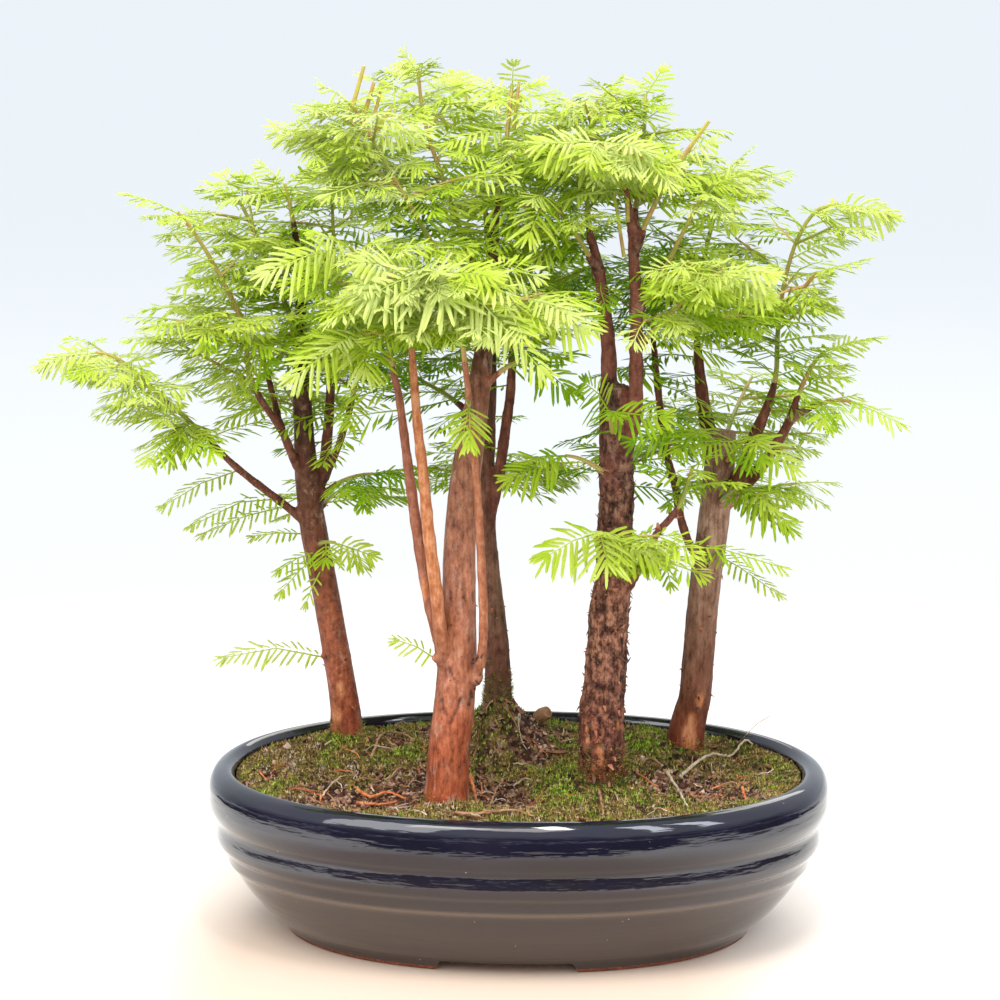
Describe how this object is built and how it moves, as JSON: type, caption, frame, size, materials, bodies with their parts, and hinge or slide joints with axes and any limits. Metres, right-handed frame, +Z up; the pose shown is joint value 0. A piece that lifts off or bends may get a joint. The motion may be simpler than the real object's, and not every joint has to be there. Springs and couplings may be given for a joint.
{
  "type": "dawn redwood bonsai forest",
  "caption": "Dawn redwood bonsai forest: upright trunks with feathery two-ranked needle sprays, planted in mossy soil in an oval glazed tray with a rolled rim.",
  "frame": {"origin": "middle of the whole forest's bounding box, on the surface that the tray stands on", "axes": "+Z up, +X to the right along the tray's long side, -Y towards the viewer"},
  "size_m": [0.3658, 0.251, 0.3699],
  "materials": {
    "glaze": "glossy midnight blue glaze on stoneware",
    "soil": "damp bonsai soil under moss",
    "screen": "black moulded plastic mesh",
    "needles": "soft spring-green needles",
    "smooth_bark": "smooth reddish-brown bark with paler patches",
    "rough_bark": "rough dark bark that peels in flakes",
    "weathered_bark": "grey-brown fissured bark"
  },
  "bodies": {
    "root": {"drain_screen_left": "screen", "drain_screen_right": "screen", "shoot_back_crown": "needles", "shoot_back_fork": "needles", "shoot_back_high": "needles", "shoot_back_left": "needles", "shoot_back_low": "needles", "shoot_back_right": "needles", "shoot_front_brown": "needles", "shoot_front_crown": "needles", "shoot_front_frontright": "needles", "shoot_front_hang": "needles", "shoot_front_knob": "needles", "shoot_front_midright": "needles", "shoot_front_orange": "needles", "shoot_front_peakleft": "needles", "shoot_front_peakmid": "needles", "shoot_left_back": "needles", "shoot_left_backlow": "needles", "shoot_left_crown": "needles", "shoot_left_crownleft": "needles", "shoot_left_footspray": "needles", "shoot_left_frontlow": "needles", "shoot_left_low": "needles", "shoot_left_mid": "needles", "shoot_left_midback": "needles", "shoot_left_rightlow": "needles", "shoot_left_second": "needles", "shoot_left_twig": "needles", "shoot_middle_archleft": "needles", "shoot_middle_back": "needles", "shoot_middle_greenhigh": "needles", "shoot_middle_greenright": "needles", "shoot_middle_handlow": "needles", "shoot_middle_leaderleft": "needles", "shoot_middle_leaderright": "needles", "shoot_middle_lowout": "needles", "shoot_middle_lowright": "needles", "shoot_middle_midfan": "needles", "shoot_middle_shoulder": "needles", "shoot_middle_top": "needles", "shoot_middle_wingleft": "needles", "shoot_right_back": "needles", "shoot_right_backlow": "needles", "shoot_right_fanright": "needles", "shoot_right_frontfan": "needles", "shoot_right_frontlow": "needles", "shoot_right_leader": "needles", "shoot_right_leftstem": "needles", "shoot_right_rightlow": "needles", "shoot_right_rightout": "needles", "shoot_right_rightup": "needles", "soil": "soil", "tray": "glaze", "wood_back": "weathered_bark", "wood_front": "smooth_bark", "wood_left": "smooth_bark", "wood_middle": "rough_bark", "wood_right": "weathered_bark"}
  },
  "joints": []
}
